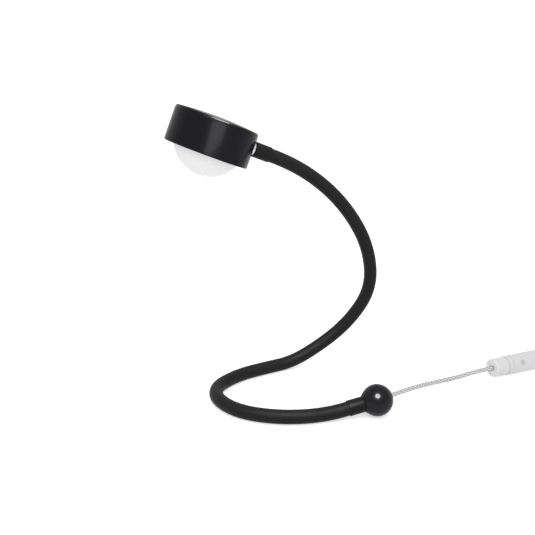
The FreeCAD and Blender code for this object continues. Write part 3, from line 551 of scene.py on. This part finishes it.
silicone = grained("black_silicone", (0.008, 0.008, 0.009), 0.55, 1500, 0.00003, Specular_IOR_Level=0.14)
neck_pieces = []
for number, name in enumerate(BENDS):
    part_form = neck_form.copy()
    layer = part_form.faces.layers.int["stretch"]
    others = [face for face in part_form.faces if face[layer] != number]
    bmesh.ops.delete(part_form, geom=others, context="FACES")
    part_mesh = bpy.data.meshes.new(f"neck_sleeve_bend_{number + 1:02d}")
    part_form.to_mesh(part_mesh)
    part_form.free()
    part_mesh.shade_smooth()
    piece = add_piece(part_mesh.name, part_mesh, silicone)
    before, after = neck_links[number], neck_links[number + 1]
    before.at(BEND_FROM)
    after.at(BEND_TO)
    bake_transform(piece)
    last_sleeve = [f"neck_sleeve_{number + 2:02d}"] if name == BENDS[-1] else []
    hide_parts(f"neck_sleeve_{number + 1:02d}", *last_sleeve)
    neck_pieces.append(piece)
neck_form.free()


# End sleeves of the neck. Short turned steel tubes, painted black, with small rounded edges. The one at the
# ball sits against the ball's nose, and the one at the head turns on a nipple behind the chrome ring.
def turned_mesh(name, outline, roundings, place, axis, sides=96, closed=True):
    """A turned piece. The outline is (along the axis, radius) points; roundings are by the point's number."""
    form = bmesh.new()
    verts = [form.verts.new((along, 0, radius)) for along, radius in outline]
    pairs = list(zip(verts, verts[1:])) + ([(verts[-1], verts[0])] if closed else [])
    for pair in pairs:
        form.edges.new(pair)
    for number, size in roundings.items():
        bmesh.ops.bevel(
            form, geom=[verts[number]], offset=size, affect="VERTICES", segments=5, profile=0.5, material=-1
        )
    bmesh.ops.spin(
        form, geom=list(form.verts) + list(form.edges), cent=(0, 0, 0), axis=(1, 0, 0), angle=math.tau,
        steps=sides, use_merge=True,
    )
    bmesh.ops.remove_doubles(form, verts=form.verts, dist=WELD)
    turn = axis.to_track_quat("X", "Z").to_matrix().to_4x4()
    bmesh.ops.transform(form, matrix=Matrix.Translation(place) @ turn, verts=form.verts)
    return finish_mesh(name, form)


FERRULE_RADIUS = 0.0067
FERRULE_EDGE = 0.0005
FERRULE_BORE = NECK_RADIUS + 0.0001
FERRULE_FLOOR = 0.004        # thickness of the sleeve's closed end
BALL_NOSE_REACH = 0.0124
BALL_FERRULE_LENGTH = 0.0136
HEAD_FERRULE_LENGTH = 0.015
HEAD_FERRULE_START = 0.018   # from the neck's last bend to the sleeve's end at the head
ferrule_paint = grained(
    "black_satin_paint", (0.007, 0.007, 0.008), 0.45, 1800, 0.00002, Specular_IOR_Level=0.12,
    Coat_Weight=0.01, Coat_Roughness=0.25,
)


def end_sleeve(name, place, axis, length, body, node):
    """A tube with rounded outer edges; its bore is deep enough to hide the neck's end."""
    outline = [
        (0, FERRULE_BORE), (0, FERRULE_RADIUS), (length, FERRULE_RADIUS), (length, 0.0),
        (length - FERRULE_FLOOR, 0.0), (length - FERRULE_FLOOR, FERRULE_BORE),
    ]
    mesh = turned_mesh(name, outline, {1: FERRULE_EDGE, 2: FERRULE_EDGE}, place, axis)
    piece = add_piece(name, mesh, ferrule_paint)
    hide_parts(node)
    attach(piece, body)
    return piece


ball_end = end_sleeve(
    "ball_end_sleeve", ball_centre + neck_out * (BALL_NOSE_REACH + BALL_FERRULE_LENGTH), -neck_out,
    BALL_FERRULE_LENGTH, "base", "ball_ferrule",
)
head_end = end_sleeve(
    "head_end_sleeve", neck_end + head_in * (HEAD_FERRULE_START - HEAD_FERRULE_LENGTH), head_in,
    HEAD_FERRULE_LENGTH, joints["head_swivel"]["parent"], "head_ferrule",
)
shine_only_on(neck_sheen, *neck_pieces, ball_end, head_end)


# Ball. A turned steel ball, painted a glossy black, that weighs the neck's lower end down. A short cone leads
# from it to the neck's end sleeve, a headless screw in a hole on its far side clamps that sleeve's tail, and
# the cord leaves it through a small bush.
NOSE_RADIUS = FERRULE_RADIUS + 0.0003
NOSE_EDGE = 0.0003
BALL_RINGS = 48
SCREW_PLACE = 0.008          # of the clamping screw, from the ball's centre along the neck
SCREW_HOLE_RADIUS = 0.0021
SCREW_HOLE_FLOOR = 0.0046    # from the neck's line to the screw's foot
SHARP_EDGE = math.radians(35)  # the hole's rim is sharper than this and the ball's facets are not
ball_paint = grained(
    "black_ball_paint", (0.003, 0.0028, 0.007), 0.4, 1600, 0.000003, Specular_IOR_Level=0.03,
    Coat_Weight=0.36, Coat_Roughness=0.15,
)
tangent = math.atan2(NOSE_RADIUS, BALL_NOSE_REACH)
tangent += math.acos(BALL_RADIUS / math.hypot(BALL_NOSE_REACH, NOSE_RADIUS))
outline = [
    (BALL_RADIUS * math.cos(angle), BALL_RADIUS * math.sin(angle))
    for angle in (tangent + (math.pi - tangent) * k / BALL_RINGS for k in range(BALL_RINGS))
]
outline = [(BALL_NOSE_REACH, 0.0), (BALL_NOSE_REACH, NOSE_RADIUS)] + outline + [(-BALL_RADIUS, 0.0)]
ball_mesh = turned_mesh("weighted_ball", outline, {1: NOSE_EDGE}, ball_centre, neck_out, closed=False)
ball = add_piece("weighted_ball", ball_mesh, ball_paint)

drill_form = bmesh.new()
screw_side = neck_out.cross(Vector((0, 0, 1))).normalized()
drill_place = ball_centre + neck_out * SCREW_PLACE + screw_side * (SCREW_HOLE_FLOOR + BALL_RADIUS / 2)
bmesh.ops.create_cone(
    drill_form, cap_ends=True, segments=48, radius1=SCREW_HOLE_RADIUS, radius2=SCREW_HOLE_RADIUS,
    depth=BALL_RADIUS,
    matrix=Matrix.Translation(drill_place) @ screw_side.to_track_quat("Z", "Y").to_matrix().to_4x4(),
)
drill = add_piece("screw_hole_drill", finish_mesh("screw_hole_drill", drill_form), ball_paint)
drilling = ball.modifiers.new("screw_hole", "BOOLEAN")
drilling.object = drill
drilling.solver = "EXACT"
drilled = bpy.data.meshes.new_from_object(ball.evaluated_get(bpy.context.evaluated_depsgraph_get()))
ball.modifiers.remove(drilling)
bpy.data.objects.remove(drill)
ball.data = drilled
drilled.name = "weighted_ball"
drilled.set_sharp_from_angle(angle=SHARP_EDGE)
shine_only_on(ball_sheen, ball)
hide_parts("base_ball")
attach(ball, "base")


# Drum. A deep-drawn steel cup, powder coated in satin black, with its mouth downwards. Its top is slightly
# crowned, its shoulder is softly rounded, and its mouth is rolled in over the ring that holds the dome.
DRUM_RADIUS = 0.0365
DRUM_SIDE = 0.0305
DRUM_CROWN = 0.0021
DRUM_WALL = 0.0012
DRUM_FLOOR = 0.006           # the height at which the drum is closed inside, above the dome's ring
DRUM_SHOULDER = 0.003
DRUM_LIP, LIP_INSIDE = 0.001, 0.0002
CROWN_RINGS = 24
NIPPLE_HEIGHT = 0.01775
HEAD_STRAIGHT = 0.0205       # from the neck's last bend to the drum's side
head_up = (Vector((0, 0, 1)) - head_in * head_in.z).normalized()
drum_mouth = neck_end + head_in * (HEAD_STRAIGHT + DRUM_RADIUS) - head_up * NIPPLE_HEIGHT
crown_radius = (DRUM_RADIUS**2 + DRUM_CROWN**2) / (2 * DRUM_CROWN)
drum_paint = grained(
    "black_powder_coat", (0.006, 0.0057, 0.0095), 0.29, 1400, 0.000004, Specular_IOR_Level=0.07,
    Coat_Weight=0.065, Coat_Roughness=0.12,
)
crown = []
for k in range(1, CROWN_RINGS):
    radius = DRUM_RADIUS * (1 - k / CROWN_RINGS)
    crown.append((DRUM_SIDE + DRUM_CROWN - crown_radius + math.sqrt(crown_radius**2 - radius**2), radius))
outline = [
    (DRUM_FLOOR, 0.0), (DRUM_FLOOR, DRUM_RADIUS - DRUM_WALL), (0.0, DRUM_RADIUS - DRUM_WALL),
    (0.0, DRUM_RADIUS), (DRUM_SIDE, DRUM_RADIUS),
] + crown + [(DRUM_SIDE + DRUM_CROWN, 0.0)]
drum_mesh = turned_mesh(
    "drum_housing", outline, {2: LIP_INSIDE, 3: DRUM_LIP, 4: DRUM_SHOULDER}, drum_mouth, head_up, sides=160,
    closed=False,
)
drum = add_piece("drum_housing", drum_mesh, drum_paint)
shine_only_on(drum_sheen, drum)
shine_only_on(shoulder_sheen, drum)
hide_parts("head_housing")
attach(drum, "head")


# Dome. An opal acrylic cover, vacuum formed to part of a ball. It is held by a flat black ring inside the
# drum's mouth, and spreads the light of the LEDs above it. Its faint glow is painted light: an even glow over
# the whole dome that lifts its shaded side, and stands in for the light that opal plastic passes on inside
# itself.
DOME_RADIUS = 0.031
DOME_DROP = 0.0187
DOME_WALL = 0.002
DOME_RINGS = 40
RING_FACE, RING_TOP = 0.0004, 0.002
# The emission is painted light, a glow that brightens the dome's shaded parts.
opal = grained(
    "opal_acrylic_painted_glow", (0.8, 0.8, 0.81), 0.3, 900, 0.00001, 0.02, 0.1, Specular_IOR_Level=0.05,
    Emission_Color=(1, 1, 1, 1), Emission_Strength=0.2,
)
dome_middle = DOME_RADIUS - DOME_DROP
edge_angle = math.acos((dome_middle - RING_TOP) / DOME_RADIUS)


def dome_arc(radius, shares):
    """Points of the dome's outline on an arc of this radius, at shares of the way from tip to edge."""
    angles = [edge_angle * share for share in shares]
    return [(dome_middle - radius * math.cos(angle), radius * math.sin(angle)) for angle in angles]


outline = dome_arc(DOME_RADIUS, [1 - k / DOME_RINGS for k in range(DOME_RINGS + 1)])
outline += dome_arc(DOME_RADIUS - DOME_WALL, [k / DOME_RINGS for k in range(DOME_RINGS + 1)])
dome_mesh = turned_mesh("opal_dome", outline, {}, drum_mouth, head_up, sides=128, closed=False)
dome = add_piece("opal_dome", dome_mesh, opal)
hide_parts("lens_dome")
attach(dome, "head")

RING_GAP = 0.0001
RING_ROUNDING = 0.0003
ring_hole = math.sqrt(DOME_RADIUS**2 - (dome_middle - RING_TOP) ** 2) + RING_GAP
ring_edge = DRUM_RADIUS - DRUM_WALL - RING_GAP
outline = [(RING_FACE, ring_hole), (RING_FACE, ring_edge), (RING_TOP, ring_edge), (RING_TOP, ring_hole)]
roundings = {0: RING_ROUNDING, 1: RING_ROUNDING}
ring_mesh = turned_mesh("dome_ring", outline, roundings, drum_mouth, head_up, sides=128)
ring_plastic = grained("black_moulding", (0.014, 0.014, 0.015), 0.5, 2200, 0.00002)
ring = add_piece("dome_ring", ring_mesh, ring_plastic)
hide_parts("lens_ring")
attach(ring, "head")


# Chrome ring. A polished spacer on the nipple, between the drum's side and the neck's end sleeve, with a
# shallow waist that catches the light.
COLLAR_RADIUS = 0.0052
COLLAR_LENGTH = 0.0022
COLLAR_WAIST, WAIST_ROUNDING = 0.0003, 0.0005
COLLAR_EDGE = 0.0002
COLLAR_ROOT = 0.0006         # how far the ring runs back into the drum's curved side
chrome = shade("polished_chrome", (0.56, 0.56, 0.57), 0.07, Metallic=1.0)[0]
outline = [
    (-COLLAR_ROOT, 0.0), (-COLLAR_ROOT, COLLAR_RADIUS), (COLLAR_LENGTH / 2, COLLAR_RADIUS - COLLAR_WAIST),
    (COLLAR_LENGTH, COLLAR_RADIUS), (COLLAR_LENGTH, 0.0),
]
collar_place = neck_end + head_in * HEAD_STRAIGHT
roundings = {2: WAIST_ROUNDING, 3: COLLAR_EDGE}
collar_mesh = turned_mesh("chrome_ring", outline, roundings, collar_place, -head_in, closed=False)
collar = add_piece("chrome_ring", collar_mesh, chrome)
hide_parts("neck_collar")
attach(collar, "head")


# Inline switch. A round housing of four glossy white rings with thin seams: the inlet cap, the nut, the
# barrel and the outlet cap. The barrel is left as it was turned, with a groove near its far end and the hole
# of the push button in its side.
SWITCH_RADIUS = 0.009
SWITCH_SEAM = 0.0004
SEAM_RADIUS = 0.0074         # of the bottom of the seams between the rings
CAP_RADIUS = 0.0084
CAP_ROUNDING = 0.0009
HOLE_CHAMFER = 0.0005
CAP_CHAMFER = 0.0003
NUT_ROUNDING = 0.0009
CAP_LENGTH = 0.0145
NUT_LENGTH = 0.005
BARREL_LENGTH = 0.0415
switch_place = Vector(LAMP_CORD_ROUTE[-1])
switch_way = (Vector(SUPPLY_ROUTE[0]) - switch_place).normalized()
white_plastic = grained(
    "white_plastic", (0.76, 0.76, 0.77), 0.3, 1200, 0.00001, 0.03, 0.2, Specular_IOR_Level=0.5
)


def switch_ring(name, start, outline, roundings, node):
    """One ring of the switch's housing, from its start along the switch."""
    mesh = turned_mesh(name, outline, roundings, switch_place + switch_way * start, switch_way, closed=False)
    piece = add_piece(name, mesh, white_plastic)
    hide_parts(node)
    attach(piece, "base")
    return piece


nut_start = CAP_LENGTH + SWITCH_SEAM
barrel_start = nut_start + NUT_LENGTH + SWITCH_SEAM
outlet_start = barrel_start + BARREL_LENGTH + SWITCH_SEAM
cord_hole = CORD_DIAMETER / 2
cap_outline = [
    (HOLE_CHAMFER, cord_hole), (0, cord_hole + HOLE_CHAMFER), (0, CAP_RADIUS), (CAP_LENGTH, CAP_RADIUS),
    (CAP_LENGTH, SEAM_RADIUS),
]
cap_roundings = {2: CAP_ROUNDING, 3: CAP_CHAMFER}
inlet_outline = cap_outline + [(nut_start, SEAM_RADIUS)]
outlet_outline = [(CAP_LENGTH - along, radius) for along, radius in cap_outline]
outlet_outline.append((-SWITCH_SEAM, SEAM_RADIUS))
nut_outline = [
    (0, SEAM_RADIUS), (0, SWITCH_RADIUS), (NUT_LENGTH, SWITCH_RADIUS), (NUT_LENGTH, SEAM_RADIUS),
    (NUT_LENGTH + SWITCH_SEAM, SEAM_RADIUS),
]
nut_roundings = {1: NUT_ROUNDING, 2: NUT_ROUNDING}
switch_rings = [
    switch_ring("inlet_cap", 0, inlet_outline, cap_roundings, "switch_inlet_cap"),
    switch_ring("outlet_cap", outlet_start, outlet_outline, cap_roundings, "switch_outlet_cap"),
    switch_ring("switch_nut_ring", nut_start, nut_outline, nut_roundings, "switch_nut"),
]
shine_only_on(cap_fill, switch_rings[0])


# Finishes of what is left: the steel hose, the parts inside the head, the switch and the plug, the plug's
# case and pins, and the bush. They are plated steel, cast aluminium, circuit boards and moulded plastic.
steel = grained("zinc_plated_steel", (0.62, 0.62, 0.63), 0.3, 1500, 0.00002, Metallic=1.0)
finishes = {
    "neck_steel": grained("wound_steel_strip", (0.5, 0.5, 0.51), 0.35, 900, 0.00003, Metallic=1.0),
    "dark_steel": grained("blackened_steel", (0.06, 0.06, 0.065), 0.4, 1500, 0.00002, Metallic=1.0),
    "bright_steel": steel,
    "pin_chrome": grained("nickel_plate", (0.8, 0.78, 0.74), 0.15, 1500, 0.000005, Metallic=1.0),
    "aluminium": grained("cast_aluminium", (0.68, 0.68, 0.7), 0.45, 700, 0.00004, Metallic=1.0),
    "white_plastic": white_plastic,
    "white_button": grained("white_button_plastic", (0.6, 0.6, 0.62), 0.3, 1200, 0.00001),
    "white_soft": grained("white_rubber", (0.72, 0.72, 0.72), 0.6, 1200, 0.00002),
    "circuit_board": grained("green_solder_mask", (0.03, 0.2, 0.08), 0.35, 500, 0.00003),
    "board_white": grained("white_solder_mask", (0.82, 0.82, 0.81), 0.4, 500, 0.00002),
    "led_yellow": grained("led_phosphor", (0.85, 0.66, 0.15), 0.5, 3000, 0.00002),
    "block_plastic": grained("terminal_plastic", (0.78, 0.78, 0.75), 0.45, 1500, 0.00002),
    "wire_plastic": grained("wire_jacket", (0.72, 0.72, 0.7), 0.45, 1500, 0.00001),
    "cord_fabric": white_plastic,
    "chrome": chrome, "opal": opal, "black_ring": ring_plastic, "black_paint": drum_paint,
    "black_ferrule": ferrule_paint, "neck_rubber": silicone,
}
for entry in frame["record"]["subparts"]:
    node = cad[entry["node"]]
    for material_slot in node.material_slots:
        material_slot.material = finishes[entry["material_slot"]]
